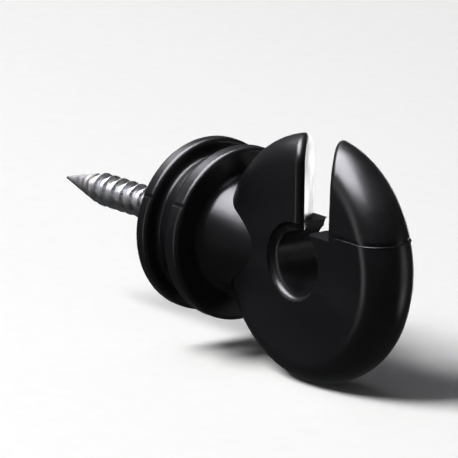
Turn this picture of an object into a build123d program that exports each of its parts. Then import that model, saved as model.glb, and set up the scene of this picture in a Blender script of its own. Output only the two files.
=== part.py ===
from build123d import *
import os

# Screw-in ring insulator for a wooden fence post, in millimetres.
# The screw's axis is Y: the post is on the +Y side and the insulator's nose points to -Y.
# The fence wire runs along X, through the hole in the ring. +Z is up.
# The origin is on the screw's axis, in the rear face that seats against the post.

# ---- drum, the round foot that seats on the post ----
DRUM_RADIUS = 15.6
DRUM_LENGTH = 11.6
REAR_RIM_LENGTH = 2.9
FRONT_RIM_LENGTH = 3.4
GROOVE_DEPTH = 2.8
GROOVE_ROUND = 0.9
RIM_ROUND = 0.8

# ---- cored back of the drum ----
CORE_WALL = 2.0
CORE_DEPTH = 8.0
BOSS_WALL = 2.4
RIB_COUNT = 6
RIB_THICKNESS = 1.6

# ---- ring, a thick disc that stands along the screw's axis ----
RING_RADIUS = 22.0
RING_THICKNESS = 11.2
RING_CENTRE = 32.3
FACE_RADIUS = 17.5

# ---- neck, the cone between the drum and the ring ----
NECK_RADIUS = 10.4
NECK_ROUND = 1.6
NECK_LENGTH = 10.2
NECK_INSET = 0.6

# ---- wire hole, and the oblique slot that opens into it through a throat in line with the hole ----
HOLE_RADIUS = 5.6
HOLE_LIP = 1.4
HOLE_SHIFT = 0.6
SLOT_WIDTH = 5.0
SLOT_FLARE = 0.4
SLOT_ANGLE = 43.5
SLOT_SHIFT = 0.2
SLOT_FLOOR = 5.6
SLOT_EDGE_ROUND = 1.0
THROAT_WIDTH = 6.8

# ---- fine groove where the mould's top slide met the rest of the mould ----
SEAM_HEIGHT = 6.5
SEAM_WIDTH = 0.7
SEAM_DEPTH = 0.3

# ---- wood screw ----
SHANK_RADIUS = 3.0
SHANK_LENGTH = 10.0
THREAD_LENGTH = 24.0
THREAD_ROOT_RADIUS = 2.1
THREAD_PITCH = 2.6
THREAD_BASE = 1.5
THREAD_CREST = 0.25
THREAD_SINK = 0.3
POINT_LENGTH = 6.0
POINT_RADIUS = 0.25
POINT_TAPER = 11.0
SHOULDER_LENGTH = 0.9

# ---- moulded-in end of the screw ----
WALL_BEHIND_HOLE = 4.0
EMBED_RADIUS = 3.5
FLAT_LENGTH = 8.0
FLAT_THICKNESS = 4.2
FLAT_WIDTH = 9.0
FLAT_ROUND = 0.8
KEY_GROOVE_DEPTH = 0.5
KEY_GROOVE_WIDTH = 1.2
KEY_GROOVE_COUNT = 2
KEY_GROOVE_STEP = 3.2

half_ring = RING_THICKNESS / 2
hole_centre = RING_CENTRE - HOLE_SHIFT
hole_mouth = HOLE_RADIUS + HOLE_LIP
embed_length = hole_centre - HOLE_RADIUS - WALL_BEHIND_HOLE
groove_radius = DRUM_RADIUS - GROOVE_DEPTH
core_radius = groove_radius - CORE_WALL
boss_radius = EMBED_RADIUS + BOSS_WALL
thread_start = SHANK_LENGTH + SHOULDER_LENGTH
point_start = SHANK_LENGTH + THREAD_LENGTH
screw_end = point_start + POINT_LENGTH
taper_start = screw_end - POINT_TAPER
outside_thread = SHANK_RADIUS + THREAD_BASE
ring_axis = Axis((0, -RING_CENTRE, 0), (1, 0, 0))
hole_axis = Axis((0, -hole_centre, 0), (1, 0, 0))
slot_mouth = SLOT_WIDTH + SLOT_FLARE
slot_way = Vector(1, 0, 0).rotate(Axis.Z, SLOT_ANGLE)
slot_plane = Plane((0, -RING_CENTRE - SLOT_SHIFT, 0), x_dir=slot_way.rotate(Axis.Z, 90), z_dir=slot_way)

os.makedirs("parts", exist_ok=True)


def ring_half_section(inset):
    """Half of the ring's section, drawn in from its skin by the inset."""
    half_thickness = half_ring - inset
    rim_height = RING_RADIUS - FACE_RADIUS - inset
    with BuildSketch(Plane.XY) as half_section:
        with BuildLine():
            EllipticalCenterArc(
                (0, FACE_RADIUS - RING_CENTRE),
                half_thickness,
                rim_height,
                start_angle=0,
                arc_size=180,
            )
            Polyline(
                (-half_thickness, FACE_RADIUS - RING_CENTRE),
                (-half_thickness, -RING_CENTRE),
                (half_thickness, -RING_CENTRE),
                (half_thickness, FACE_RADIUS - RING_CENTRE),
            )
        make_face()
    return half_section.sketch


# ---------------------------------------------------------------- wood screw
with BuildPart() as wood_screw:
    # shank and thread core are one turned bar
    with BuildSketch(Plane.XY) as bar_section:
        with BuildLine():
            Polyline(
                (0, -embed_length),
                (EMBED_RADIUS, -embed_length),
                (EMBED_RADIUS, 0),
                (SHANK_RADIUS, 0),
                (SHANK_RADIUS, SHANK_LENGTH),
                (THREAD_ROOT_RADIUS, thread_start),
                (THREAD_ROOT_RADIUS, screw_end),
                (0, screw_end),
                close=True,
            )
        make_face()
    revolve(axis=Axis.Y)

    # the thread is one ridge wound round the core, its foot sunk into it
    with BuildLine() as thread_path:
        Helix(
            THREAD_PITCH,
            THREAD_LENGTH - SHOULDER_LENGTH,
            THREAD_ROOT_RADIUS,
            center=(0, thread_start, 0),
            direction=(0, 1, 0),
        )
    ridge_start = thread_path.line @ 0
    outward = Vector(ridge_start.X, 0, ridge_start.Z).normalized()
    ridge_height = SHANK_RADIUS - THREAD_ROOT_RADIUS
    with BuildSketch(Plane(ridge_start, x_dir=outward, z_dir=thread_path.line % 0)) as ridge_section:
        with BuildLine():
            Polyline(
                (-THREAD_SINK, -THREAD_BASE / 2),
                (ridge_height, -THREAD_CREST / 2),
                (ridge_height, THREAD_CREST / 2),
                (-THREAD_SINK, THREAD_BASE / 2),
                close=True,
            )
        make_face()
    sweep(path=thread_path.line, is_frenet=True)

    # thread and core are both cut down to the point by one long cone
    with BuildSketch(Plane.XY) as point_section:
        with BuildLine():
            Polyline(
                (SHANK_RADIUS, taper_start),
                (POINT_RADIUS, screw_end),
                (POINT_RADIUS, screw_end + THREAD_BASE),
                (outside_thread, screw_end + THREAD_BASE),
                (outside_thread, taper_start),
                close=True,
            )
        make_face()
    revolve(axis=Axis.Y, mode=Mode.SUBTRACT)

    # the inner end is pressed flat, so that the plastic holds it against turning
    with BuildSketch(Plane.XZ.offset(embed_length - FLAT_LENGTH)) as flat_section:
        RectangleRounded(FLAT_THICKNESS, FLAT_WIDTH, FLAT_ROUND)
    extrude(amount=FLAT_LENGTH)

    # grooves round the moulded-in shank hold it against pulling out
    with BuildSketch(Plane.XY) as key_grooves:
        for index in range(KEY_GROOVE_COUNT):
            with Locations((EMBED_RADIUS, -KEY_GROOVE_STEP * (index + 1))):
                Rectangle(2 * KEY_GROOVE_DEPTH, KEY_GROOVE_WIDTH)
    revolve(axis=Axis.Y, mode=Mode.SUBTRACT)

wood_screw.part.label = "wood_screw"
export_step(wood_screw.part, "parts/wood_screw.step")


# ---------------------------------------------------------------- seam of the mould's slide
with BuildPart() as slide_seam:
    # a thin level band over the nose side of the ring, up to the slot
    with BuildSketch(Plane((0, -RING_CENTRE, SEAM_HEIGHT), x_dir=slot_way, z_dir=(0, 0, 1))) as nose_band:
        Rectangle(3 * RING_THICKNESS, 2 * RING_RADIUS, align=(Align.CENTER, Align.MAX))
    extrude(amount=SEAM_WIDTH)
    add(ring_half_section(SEAM_DEPTH))
    revolve(axis=ring_axis, mode=Mode.SUBTRACT)

    # and across the two rims of the drum
    with BuildSketch(Plane.XY.offset(SEAM_HEIGHT)) as drum_band:
        Rectangle(3 * DRUM_RADIUS, DRUM_LENGTH, align=(Align.CENTER, Align.MAX))
    extrude(amount=SEAM_WIDTH)
    with BuildSketch(Plane.XZ) as drum_inside:
        Circle(DRUM_RADIUS - SEAM_DEPTH)
    extrude(amount=DRUM_LENGTH, mode=Mode.SUBTRACT)


# ---------------------------------------------------------------- insulator body
with BuildPart() as insulator_body:
    # drum with its two rims, the groove between them and the neck in front
    with BuildSketch(Plane.XY) as drum_section:
        with BuildLine():
            Polyline(
                (0, 0),
                (DRUM_RADIUS, 0),
                (DRUM_RADIUS, -REAR_RIM_LENGTH),
                (groove_radius, -REAR_RIM_LENGTH),
                (groove_radius, FRONT_RIM_LENGTH - DRUM_LENGTH),
                (DRUM_RADIUS, FRONT_RIM_LENGTH - DRUM_LENGTH),
                (DRUM_RADIUS, -DRUM_LENGTH),
                (NECK_RADIUS, -DRUM_LENGTH),
                (half_ring - NECK_INSET, -DRUM_LENGTH - NECK_LENGTH),
                (0, -DRUM_LENGTH - NECK_LENGTH),
                close=True,
            )
        make_face()
        rim_corners = drum_section.vertices().group_by(Axis.X)[-1]
        fillet(rim_corners, RIM_ROUND)
        groove_corners = drum_section.vertices().filter_by_position(Axis.X, groove_radius, groove_radius)
        fillet(groove_corners, GROOVE_ROUND)
        neck_foot = drum_section.vertices().sort_by_distance((NECK_RADIUS, -DRUM_LENGTH))[0]
        fillet(neck_foot, NECK_ROUND)
    revolve(axis=Axis.Y)

    # ring: flat faces and a round rim
    add(ring_half_section(0))
    revolve(axis=ring_axis)

    # oblique slot through the top of the ring, a little wider at its mouth
    with BuildSketch(slot_plane) as slot_section:
        with BuildLine():
            Polyline(
                (-SLOT_WIDTH / 2, SLOT_FLOOR),
                (-slot_mouth / 2, RING_RADIUS),
                (slot_mouth / 2, RING_RADIUS),
                (SLOT_WIDTH / 2, SLOT_FLOOR),
                close=True,
            )
        make_face()
    extrude(amount=RING_RADIUS, both=True, mode=Mode.SUBTRACT)

    # the slot's long edges are rounded from the floor up, over the rim and down again
    slot_walls = insulator_body.faces().filter_by(
        lambda face: face.geom_type == GeomType.PLANE and abs(face.normal_at().dot(slot_plane.x_dir)) > 0.99
    )
    slot_floor = insulator_body.faces().filter_by(Axis.Z).sort_by_distance((0, -RING_CENTRE, SLOT_FLOOR))[0]
    floor_edges = slot_floor.edges()
    slot_rims = [edge for edge in slot_walls.edges() if edge not in floor_edges]
    fillet(slot_rims, SLOT_EDGE_ROUND)

    # throat between the slot and the hole, in line with the hole. It crosses the slot at an angle, so the
    # two overlap widely in the middle of the ring and only narrowly at its faces
    with BuildSketch(Plane.YZ) as throat_section:
        with Locations((-hole_centre, SLOT_FLOOR / 2)):
            Rectangle(THROAT_WIDTH, SLOT_FLOOR)
    extrude(amount=half_ring, both=True, mode=Mode.SUBTRACT)

    # wire hole, its mouth rounded on both faces
    with BuildSketch(Plane.XY) as hole_section:
        with BuildLine():
            lip_start = (half_ring - HOLE_LIP, HOLE_RADIUS - hole_centre)
            lip_end = (half_ring, hole_mouth - hole_centre)
            Polyline((0, -hole_centre), (0, HOLE_RADIUS - hole_centre), lip_start)
            RadiusArc(lip_start, lip_end, HOLE_LIP)
            Polyline(lip_end, (half_ring, -hole_centre), (0, -hole_centre))
        make_face()
        mirror(about=Plane.YZ)
    revolve(axis=hole_axis, mode=Mode.SUBTRACT)

    # fine groove left by the mould's slide
    add(slide_seam.part, mode=Mode.SUBTRACT)

    # the back of the drum is cored out between the boss and the wall, with ribs left standing
    with BuildSketch(Plane.XZ) as core_section:
        Circle(core_radius)
        Circle(boss_radius, mode=Mode.SUBTRACT)
        with PolarLocations(DRUM_RADIUS / 2, RIB_COUNT):
            Rectangle(DRUM_RADIUS, RIB_THICKNESS, mode=Mode.SUBTRACT)
    extrude(amount=CORE_DEPTH, mode=Mode.SUBTRACT)

    # the plastic is moulded round the screw
    add(wood_screw.part, mode=Mode.SUBTRACT)

insulator_body.part.label = "insulator_body"
export_step(insulator_body.part, "parts/insulator_body.step")
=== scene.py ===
"""Screw-in ring insulator for a wooden fence post, dressed for a studio picture.

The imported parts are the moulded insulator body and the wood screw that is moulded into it. This
file gives them their finishes, adds the fine bead that the mould's top slide leaves on the ring, and
sets up the floor, the lights and the camera. Lengths are in metres. The screw lies along Y, the nose of
the insulator points to -Y, the fence wire runs along X, and Z is up.
"""

import logging
import math
from dataclasses import dataclass
from enum import Enum

import bpy
from mathutils import Matrix, Vector


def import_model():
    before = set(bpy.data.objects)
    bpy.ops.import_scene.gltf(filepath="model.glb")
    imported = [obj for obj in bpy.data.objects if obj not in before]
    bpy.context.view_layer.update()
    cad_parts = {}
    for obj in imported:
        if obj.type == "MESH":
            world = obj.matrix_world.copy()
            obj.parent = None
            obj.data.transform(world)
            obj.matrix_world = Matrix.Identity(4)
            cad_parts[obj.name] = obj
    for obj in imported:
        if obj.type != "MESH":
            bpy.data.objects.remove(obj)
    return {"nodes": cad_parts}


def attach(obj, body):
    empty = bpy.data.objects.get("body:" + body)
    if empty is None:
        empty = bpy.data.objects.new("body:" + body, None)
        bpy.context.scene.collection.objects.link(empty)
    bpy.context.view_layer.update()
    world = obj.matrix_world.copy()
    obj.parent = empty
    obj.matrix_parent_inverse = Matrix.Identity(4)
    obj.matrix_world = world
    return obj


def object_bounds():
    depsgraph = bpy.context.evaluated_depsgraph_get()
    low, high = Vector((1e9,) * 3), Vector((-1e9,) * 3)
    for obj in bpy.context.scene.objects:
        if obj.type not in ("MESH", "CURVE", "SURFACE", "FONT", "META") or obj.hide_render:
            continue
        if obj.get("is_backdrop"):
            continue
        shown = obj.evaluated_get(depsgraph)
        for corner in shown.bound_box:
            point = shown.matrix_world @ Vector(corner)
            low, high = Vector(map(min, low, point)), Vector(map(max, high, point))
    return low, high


MM = 0.001

# The Mix node has sockets of the same name for each data type, so its colour ones go by number.
MIX_COLOURS_IN = (6, 7)
MIX_COLOUR_OUT = 2

Colour = tuple[float, float, float]
Triple = tuple[float, float, float]
Span = tuple[float, float]

log = logging.getLogger("ring_insulator")


class Slot(Enum):
    """The material slots of the record that the pieces take their finish from."""

    BLACK_PLASTIC = "black_plastic"
    ZINC_STEEL = "zinc_plated_steel"


class Axis(Enum):
    """The axes of the part's frame, by their place in a coordinate."""

    X = 0
    Y = 1
    Z = 2


# ---------------------------------------------------------------- small tools


def deselect_all() -> None:
    """Leave edit mode and deselect every object."""
    if bpy.context.object is not None and bpy.context.object.mode != "OBJECT":
        bpy.ops.object.mode_set(mode="OBJECT")
    bpy.ops.object.select_all(action="DESELECT")


def make_active(piece: bpy.types.Object) -> None:
    """Select one object alone and make it the active one.

    Args:
        piece: The object that the next operators work on.
    """
    deselect_all()
    piece.select_set(True)
    bpy.context.view_layer.objects.active = piece


def set_name(piece: bpy.types.Object, name: str) -> None:
    """Give an object and its data the same name."""
    piece.name = name
    piece.data.name = name


def dress(piece: bpy.types.Object, finish: bpy.types.Material) -> None:
    """Put one finish on every material slot of a piece."""
    for slot in piece.material_slots:
        slot.material = finish


class NodeBoard:
    """Lays out the nodes of one material, so that a finish reads as a short recipe."""

    def __init__(self, name: str) -> None:
        """Start a material with one Principled shader.

        Args:
            name: The material's name.
        """
        self.material = bpy.data.materials.new(name)
        self.material.use_nodes = True
        self.tree = self.material.node_tree
        self.tree.nodes.clear()
        self.output = self.tree.nodes.new("ShaderNodeOutputMaterial")
        self.shader = self.tree.nodes.new("ShaderNodeBsdfPrincipled")
        self.link(self.shader.outputs["BSDF"], self.output.inputs["Surface"])
        self.place = self.tree.nodes.new("ShaderNodeTexCoord").outputs["Object"]

    def link(self, source: bpy.types.NodeSocket, target: bpy.types.NodeSocket) -> None:
        """Join an output to an input."""
        self.tree.links.new(source, target)

    def set(self, **values: float | tuple[float, ...]) -> None:
        """Set constants on the shader's own sockets.

        Args:
            values: Socket names with underscores for spaces, and their values.
        """
        for name, value in values.items():
            self.shader.inputs[name.replace("_", " ")].default_value = value

    def feed(self, name: str, source: bpy.types.NodeSocket) -> None:
        """Join an output to one of the shader's sockets."""
        self.link(source, self.shader.inputs[name])

    def stretched(self, scale: Triple) -> bpy.types.NodeSocket:
        """Return the piece's own coordinates, stretched along each axis.

        Args:
            scale: The factor along X, Y and Z.

        Returns:
            The stretched coordinates.
        """
        mapping = self.tree.nodes.new("ShaderNodeMapping")
        mapping.inputs["Scale"].default_value = scale
        self.link(self.place, mapping.inputs["Vector"])
        return mapping.outputs["Vector"]

    def noise(
        self, size: float, detail: float = 2.0, rough: float = 0.5, where: bpy.types.NodeSocket | None = None
    ) -> bpy.types.NodeSocket:
        """Return a noise pattern.

        Args:
            size: The size of one blotch, in metres.
            detail: How many finer layers it has.
            rough: How strong the finer layers are.
            where: Coordinates to read, or None for the piece's own.

        Returns:
            The pattern, from 0 to 1.
        """
        node = self.tree.nodes.new("ShaderNodeTexNoise")
        node.inputs["Scale"].default_value = 1.0 / size
        node.inputs["Detail"].default_value = detail
        node.inputs["Roughness"].default_value = rough
        self.link(where or self.place, node.inputs["Vector"])
        return node.outputs["Fac"]

    def ramp(
        self, source: bpy.types.NodeSocket, start: float, end: float, low: float, high: float
    ) -> bpy.types.NodeSocket:
        """Return a value that goes from low to high as the source goes from start to end.

        Args:
            source: The value that drives it.
            start: The source's value where the ramp begins.
            end: The source's value where the ramp ends.
            low: The result at and before the start.
            high: The result at and after the end.

        Returns:
            The clamped result.
        """
        node = self.tree.nodes.new("ShaderNodeMapRange")
        node.interpolation_type = "SMOOTHSTEP"
        self.link(source, node.inputs["Value"])
        for name, value in (("From Min", start), ("From Max", end), ("To Min", low), ("To Max", high)):
            node.inputs[name].default_value = value
        return node.outputs["Result"]

    def math(self, operation: str, *values: bpy.types.NodeSocket | float) -> bpy.types.NodeSocket:
        """Return the result of one arithmetic step.

        Args:
            operation: The step's name, such as ADD.
            values: Sockets or numbers that it works on.

        Returns:
            The result.
        """
        node = self.tree.nodes.new("ShaderNodeMath")
        node.operation = operation
        for index, value in enumerate(values):
            if isinstance(value, bpy.types.NodeSocket):
                self.link(value, node.inputs[index])
            else:
                node.inputs[index].default_value = value
        return node.outputs["Value"]

    def mix(
        self,
        factor: bpy.types.NodeSocket,
        first: Colour | bpy.types.NodeSocket,
        second: Colour | bpy.types.NodeSocket,
    ) -> bpy.types.NodeSocket:
        """Return a colour between two others.

        Args:
            factor: 0 for the first, 1 for the second.
            first: A colour or a socket.
            second: A colour or a socket.

        Returns:
            The mixed colour.
        """
        node = self.tree.nodes.new("ShaderNodeMix")
        node.data_type = "RGBA"
        self.link(factor, node.inputs["Factor"])
        for number, value in zip(MIX_COLOURS_IN, (first, second)):
            if isinstance(value, bpy.types.NodeSocket):
                self.link(value, node.inputs[number])
            else:
                node.inputs[number].default_value = (*value, 1.0)
        return node.outputs[MIX_COLOUR_OUT]

    def bump(
        self, height: bpy.types.NodeSocket, depth: float, under: bpy.types.NodeSocket | None = None
    ) -> bpy.types.NodeSocket:
        """Return a normal that is tilted by a height pattern.

        Args:
            height: The pattern, from 0 to 1.
            depth: How deep the pattern is, in metres.
            under: A coarser bump that it is laid on, or None.

        Returns:
            The tilted normal.
        """
        node = self.tree.nodes.new("ShaderNodeBump")
        node.inputs["Distance"].default_value = depth
        self.link(height, node.inputs["Height"])
        if under is not None:
            self.link(under, node.inputs["Normal"])
        return node.outputs["Normal"]

    def axis_value(self, axis: Axis) -> bpy.types.NodeSocket:
        """Return one coordinate of the piece's own position."""
        node = self.tree.nodes.new("ShaderNodeSeparateXYZ")
        self.link(self.place, node.inputs["Vector"])
        return node.outputs[axis.value]


# ---------------------------------------------------------------- finishes


@dataclass(frozen=True)
class MouldedPlastic:
    """Glossy black plastic as it comes out of a polished mould, with a little handling on it.

    Each span is the part of a pattern's range over which its mark fades in.
    """

    pigment: Colour = (0.0018, 0.0018, 0.0024)
    faded: Colour = (0.0042, 0.0042, 0.0052)
    dust: Colour = (0.035, 0.033, 0.030)
    gloss: float = 0.27
    dull: float = 0.37
    flow_size: float = 9.0 * MM
    peel_size: float = 1.6 * MM
    grain_size: float = 0.22 * MM
    scuff_size: float = 1.1 * MM
    speck_size: float = 0.33 * MM
    flow_stretch: Triple = (1.0, 0.35, 1.0)
    scuff_stretch: Triple = (1.0, 0.18, 3.2)
    scuff_span: Span = (0.60, 0.72)
    speck_span: Span = (0.72, 0.82)
    flow_span: Span = (0.35, 0.70)
    dust_cover: float = 0.35
    scuff_dulling: float = 0.10
    grain_dulling: float = 0.05
    peel_depth: float = 0.010 * MM
    scuff_depth: float = 0.002 * MM
    grain_depth: float = 0.003 * MM
    refraction: float = 1.46

    def material(self) -> bpy.types.Material:
        """Build the material.

        Returns:
            The finished material.
        """
        board = NodeBoard("moulded_black_plastic")
        flow = board.noise(self.flow_size, detail=3.0, where=board.stretched(self.flow_stretch))
        grain = board.noise(self.grain_size, detail=2.0)
        peel = board.noise(self.peel_size, detail=1.0, rough=0.3)
        streaked = board.stretched(self.scuff_stretch)
        scuffs = board.noise(self.scuff_size, detail=4.0, rough=0.7, where=streaked)
        scuff_mask = board.ramp(scuffs, *self.scuff_span, 0.0, 1.0)
        specks = board.noise(self.speck_size, detail=2.0)
        specks = board.ramp(specks, *self.speck_span, 0.0, self.dust_cover)
        resin = board.mix(flow, self.pigment, self.faded)
        board.feed("Base Color", board.mix(specks, resin, self.dust))
        patchy = board.ramp(flow, *self.flow_span, self.gloss, self.dull)
        worn = board.math("MULTIPLY", scuff_mask, self.scuff_dulling)
        fine = board.math("MULTIPLY", grain, self.grain_dulling)
        board.feed("Roughness", board.math("ADD", board.math("ADD", patchy, worn), fine))
        normal = board.bump(peel, self.peel_depth)
        normal = board.bump(scuff_mask, self.scuff_depth, under=normal)
        board.feed("Normal", board.bump(grain, self.grain_depth, under=normal))
        board.set(IOR=self.refraction)
        return board.material


@dataclass(frozen=True)
class ZincPlate:
    """Bright zinc plating over rolled steel, duller down in the thread and darkened there by painted shade.

    Each span is the part of a pattern's range over which its mark fades in. The thread's start is
    such a span along the screw, and the unshaded crest is how far below the crest the painted shade ends.
    """

    bright: Colour = (0.74, 0.75, 0.76)
    milky: Colour = (0.55, 0.57, 0.60)
    straw: Colour = (0.70, 0.66, 0.56)
    # Painted shade: the dark colour laid into the thread's roots.
    thread_root_shade: Colour = (0.16, 0.15, 0.14)
    root_radius: float = 2.1 * MM
    crest_radius: float = 3.0 * MM
    thread_start: Span = (10.0 * MM, 11.2 * MM)
    unshaded_crest: float = 0.25 * MM
    spangle_size: float = 1.3 * MM
    tint_size: float = 5.0 * MM
    line_size: float = 0.30 * MM
    line_stretch: Triple = (0.05, 1.0, 0.05)
    spangle_span: Span = (0.35, 0.65)
    tint_span: Span = (0.45, 0.75)
    gloss_span: Span = (0.30, 0.70)
    gloss: float = 0.20
    dull: float = 0.36
    straw_cover: float = 0.55
    thread_root_shade_cover: float = 0.55
    thread_root_dulling: float = 0.30
    line_dulling: float = 0.08
    line_depth: float = 0.0015 * MM
    spangle_depth: float = 0.002 * MM

    def material(self) -> bpy.types.Material:
        """Build the material.

        Returns:
            The finished material.
        """
        board = NodeBoard("bright_zinc_plate")
        cloud = board.noise(self.spangle_size, detail=1.0)
        tint = board.noise(self.tint_size, detail=1.0)
        turned = board.noise(self.line_size, detail=2.0, where=board.stretched(self.line_stretch))
        across = self.radius(board)
        low = board.ramp(across, self.root_radius, self.crest_radius - self.unshaded_crest, 1.0, 0.0)
        in_thread = board.ramp(board.axis_value(Axis.Y), *self.thread_start, 0.0, 1.0)
        # Painted shade: the plate darkens down towards the thread's roots, more where the thread is deeper.
        shade = board.math("MULTIPLY", board.math("MULTIPLY", low, in_thread), self.thread_root_shade_cover)
        plate = board.mix(board.ramp(cloud, *self.spangle_span, 0.0, 1.0), self.bright, self.milky)
        plate = board.mix(board.ramp(tint, *self.tint_span, 0.0, self.straw_cover), plate, self.straw)
        board.feed("Base Color", board.mix(shade, plate, self.thread_root_shade))
        rough = board.ramp(cloud, *self.gloss_span, self.gloss, self.dull)
        rough = board.math("ADD", rough, board.math("MULTIPLY", shade, self.thread_root_dulling))
        board.feed("Roughness", board.math("ADD", rough, board.math("MULTIPLY", turned, self.line_dulling)))
        normal = board.bump(turned, self.line_depth)
        board.feed("Normal", board.bump(cloud, self.spangle_depth, under=normal))
        board.set(Metallic=1.0)
        return board.material

    def radius(self, board: NodeBoard) -> bpy.types.NodeSocket:
        """Return the distance from the screw's axis.

        Args:
            board: The material that the nodes go into.

        Returns:
            The distance, in metres.
        """
        sides = [board.axis_value(axis) for axis in (Axis.X, Axis.Z)]
        squares = [board.math("MULTIPLY", side, side) for side in sides]
        return board.math("SQRT", board.math("ADD", *squares))


@dataclass(frozen=True)
class PaperFloor:
    """Matt pale studio paper."""

    pale: Colour = (0.66, 0.66, 0.655)
    shade: Colour = (0.62, 0.62, 0.615)
    fibre_size: float = 4.0 * MM
    dull: float = 0.9
    sheen: float = 0.2

    def material(self) -> bpy.types.Material:
        """Build the material.

        Returns:
            The finished material.
        """
        board = NodeBoard("pale_paper")
        fibre = board.noise(self.fibre_size, detail=4.0)
        board.feed("Base Color", board.mix(fibre, self.pale, self.shade))
        board.set(Roughness=self.dull, Specular_IOR_Level=self.sheen)
        return board.material


# ---------------------------------------------------------------- the insulator


@dataclass
class MouldedBody:
    """The black body: drum, neck and slotted ring, moulded in one piece round the screw."""

    node: bpy.types.Object
    finish: bpy.types.Material
    slot: Slot = Slot.BLACK_PLASTIC

    def build(self) -> bpy.types.Object:
        """Give the body its plastic.

        Returns:
            The dressed body.
        """
        dress(self.node, self.finish)
        return self.node


@dataclass
class SlideFlash:
    """The fine bead of plastic that squeezed out under the mould's top slide, round the ring's nose.

    It lies along the lower edge of the level groove, half sunk in the plastic, and narrows at both ends.
    """

    finish: bpy.types.Material
    slot: Slot = Slot.BLACK_PLASTIC
    height: float = 6.40 * MM
    bead_radius: float = 0.14 * MM
    ring_centre: float = -32.3 * MM
    ring_radius: float = 22.0 * MM
    face_radius: float = 17.5 * MM
    half_thickness: float = 5.6 * MM
    left_end: float = -42.6 * MM
    right_end: float = -35.8 * MM
    face_steps: int = 12
    rim_steps: int = 60
    roundness: int = 2
    end_size: float = 0.15
    end_growth: float = 0.2
    merge_share: float = 0.01

    def on_rim(self, angle: float) -> Vector:
        """Return a point of the rim at the bead's height.

        Args:
            angle: The way round the rim's section, in radians, from -pi/2 on the left face to pi/2 on
                the right.

        Returns:
            The point on the plastic's skin.
        """
        across = self.half_thickness * math.sin(angle)
        radius = self.face_radius + (self.ring_radius - self.face_radius) * math.cos(angle)
        return Vector((across, self.ring_centre - math.sqrt(radius**2 - self.height**2), self.height))

    def path(self) -> list[Vector]:
        """Return the bead's points, from the left face over the nose to the right face."""
        rim = [self.on_rim(math.pi * (step / self.rim_steps - 0.5)) for step in range(self.rim_steps + 1)]
        left = Vector((-self.half_thickness, self.left_end, self.height))
        right = Vector((self.half_thickness, self.right_end, self.height))
        on_left = [left.lerp(rim[0], step / self.face_steps) for step in range(self.face_steps)]
        on_right = [rim[-1].lerp(right, (step + 1) / self.face_steps) for step in range(self.face_steps)]
        return on_left + rim + on_right

    def build(self) -> bpy.types.Object:
        """Make the bead as a round cord along its path, as one closed mesh.

        Returns:
            The finished bead.
        """
        points = self.path()
        curve = bpy.data.curves.new("slide_flash", "CURVE")
        curve.dimensions = "3D"
        curve.bevel_depth = self.bead_radius
        curve.bevel_resolution = self.roundness
        curve.use_fill_caps = True
        spline = curve.splines.new("POLY")
        spline.points.add(len(points) - 1)
        for index, (knot, point) in enumerate(zip(spline.points, points)):
            knot.co = (*point, 1.0)
            from_end = min(index, len(points) - 1 - index)
            knot.radius = min(1.0, self.end_size + self.end_growth * from_end)
        piece = bpy.data.objects.new("slide_flash", curve)
        bpy.context.scene.collection.objects.link(piece)
        make_active(piece)
        bpy.ops.object.convert(target="MESH")
        bpy.ops.object.mode_set(mode="EDIT")
        bpy.ops.mesh.select_all(action="SELECT")
        bpy.ops.mesh.remove_doubles(threshold=self.bead_radius * self.merge_share)
        bpy.ops.mesh.normals_make_consistent(inside=False)
        bpy.ops.object.mode_set(mode="OBJECT")
        bpy.ops.object.shade_smooth()
        piece = bpy.context.object
        set_name(piece, "slide_flash")
        piece.data.materials.append(self.finish)
        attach(piece, "root")
        return piece


@dataclass
class WoodScrew:
    """The plated screw, with a flattened and grooved end inside the body."""

    node: bpy.types.Object
    finish: bpy.types.Material
    slot: Slot = Slot.ZINC_STEEL

    def build(self) -> bpy.types.Object:
        """Give the screw its plating.

        Returns:
            The dressed screw.
        """
        dress(self.node, self.finish)
        return self.node


# ---------------------------------------------------------------- floor, lights and camera


@dataclass(frozen=True)
class Lamp:
    """A soft rectangular lamp that faces the object.

    A lamp that isn't mirrored lights matt surfaces and leaves no highlight; one that isn't lit leaves
    highlights and lights no matt surface.
    """

    name: str
    direction: Triple
    width: float
    height: float
    brightness: float
    distance: float = 1.9
    tint: Colour = (1.0, 1.0, 1.0)
    mirrored: bool = True
    lit: bool = True

    def light(self, aim: Vector) -> None:
        """Set the lamp up.

        Args:
            aim: The point that the lamp faces.
        """
        data = bpy.data.lights.new(self.name, "AREA")
        data.shape = "RECTANGLE"
        data.size = self.width
        data.size_y = self.height
        data.color = self.tint
        data.energy = self.brightness * math.pi * self.width * self.height
        lamp = bpy.data.objects.new(self.name, data)
        away = Vector(self.direction).normalized()
        lamp.matrix_world = Matrix.LocRotScale(aim + away * self.distance, away.to_track_quat("Z", "Y"), None)
        lamp.visible_camera = False
        lamp.visible_glossy = self.mirrored
        lamp.visible_diffuse = self.lit
        bpy.context.scene.collection.objects.link(lamp)


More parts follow.
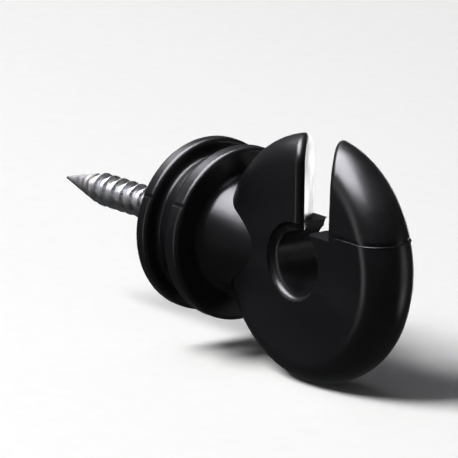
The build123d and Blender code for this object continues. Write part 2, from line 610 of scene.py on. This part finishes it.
@dataclass(frozen=True)
class Viewpoint:
    """Where the camera stands: angles in degrees, lengths in metres, lens and sensor in millimetres."""

    azimuth: float = -38.9
    elevation: float = 13.95
    roll: float = 1.15
    lens: float = 500.0
    sensor: float = 36.0
    field: float = 81.0 * MM
    aim: Triple = (0.0, -7.15 * MM, 0.0)
    nearest: float = 0.01
    farthest: float = 20.0

    def camera(self) -> bpy.types.Object:
        """Set the camera up.

        Returns:
            The camera.
        """
        turn, lift, lean = (math.radians(angle) for angle in (self.azimuth, self.elevation, self.roll))
        back = Vector((math.sin(turn) * math.cos(lift), -math.cos(turn) * math.cos(lift), math.sin(lift)))
        right = Vector((math.cos(turn), math.sin(turn), 0.0))
        up = back.cross(right)
        leant_right = right * math.cos(lean) + up * math.sin(lean)
        leant_up = up * math.cos(lean) - right * math.sin(lean)
        rotation = Matrix((leant_right, leant_up, back)).transposed().to_quaternion()
        distance = self.field * self.lens / self.sensor
        data = bpy.data.cameras.new("camera")
        data.lens = self.lens
        data.sensor_width = self.sensor
        data.clip_start = self.nearest
        data.clip_end = self.farthest
        camera = bpy.data.objects.new("camera", data)
        camera.matrix_world = Matrix.LocRotScale(Vector(self.aim) + back * distance, rotation, None)
        bpy.context.scene.collection.objects.link(camera)
        return camera


@dataclass
class Studio:
    """A pale floor, and lamps that light it and draw the object in highlights.

    The window lamp, up on the left, leaves no highlights, and the overhead softbox leaves nothing else.
    The three dim cards at the sides do both, and draw the edges.
    """

    floor_height: float
    paper: PaperFloor = PaperFloor()
    viewpoint: Viewpoint = Viewpoint()
    room_colour: Colour = (0.95, 0.97, 1.0)
    room_brightness: float = 0.06
    floor_size: float = 8.0
    gap: float = 0.05 * MM
    lamps: tuple[Lamp, ...] = (
        Lamp("window", (-0.55, 0.25, 0.80), width=0.9, height=0.9, brightness=26.0, mirrored=False),
        Lamp(
            "overhead_softbox",
            (-0.20, 0.20, 0.96),
            width=2.5,
            height=1.5,
            brightness=19.0,
            tint=(0.95, 0.93, 1.0),
            lit=False,
        ),
        Lamp("left_card", (-0.93, 0.30, 0.0), width=0.7, height=1.6, brightness=1.7),
        Lamp("far_right_card", (0.80, 0.57, -0.16), width=0.6, height=0.7, brightness=5.0),
        Lamp("near_right_card", (0.80, -0.58, -0.20), width=0.5, height=1.4, brightness=1.7),
    )

    def build(self) -> None:
        """Set up the floor, the room, the lamps and the camera."""
        scene = bpy.context.scene
        scene.view_settings.view_transform = "Standard"
        self.lay_floor()
        self.light_room()
        for lamp in self.lamps:
            lamp.light(Vector(self.viewpoint.aim))
        scene.camera = self.viewpoint.camera()

    def lay_floor(self) -> None:
        """Lay the paper just under the object."""
        deselect_all()
        height = self.floor_height - self.gap
        bpy.ops.mesh.primitive_plane_add(size=self.floor_size, location=(0.0, 0.0, height))
        floor = bpy.context.object
        set_name(floor, "floor")
        floor.data.materials.append(self.paper.material())
        floor.visible_glossy = False
        floor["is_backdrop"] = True

    def light_room(self) -> None:
        """Give the room behind the lamps an even dim light."""
        world = bpy.data.worlds.new("studio_room")
        world.use_nodes = True
        background = world.node_tree.nodes["Background"]
        background.inputs["Color"].default_value = (*self.room_colour, 1.0)
        background.inputs["Strength"].default_value = self.room_brightness
        bpy.context.scene.world = world


def main() -> None:
    """Build everything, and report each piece."""
    logging.basicConfig(level=logging.INFO, format="%(message)s")
    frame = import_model()
    cad_low, cad_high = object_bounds()
    plastic = MouldedPlastic().material()
    nodes = frame["nodes"]
    parts = (
        MouldedBody(nodes["insulator_body"], plastic),
        SlideFlash(plastic),
        WoodScrew(nodes["wood_screw"], ZincPlate().material()),
    )
    for part in parts:
        piece = part.build()
        log.info("%s: %d faces, %s", piece.name, len(piece.data.polygons), part.slot.value)
    Studio(cad_low.z).build()


if __name__ == "__main__":
    main()
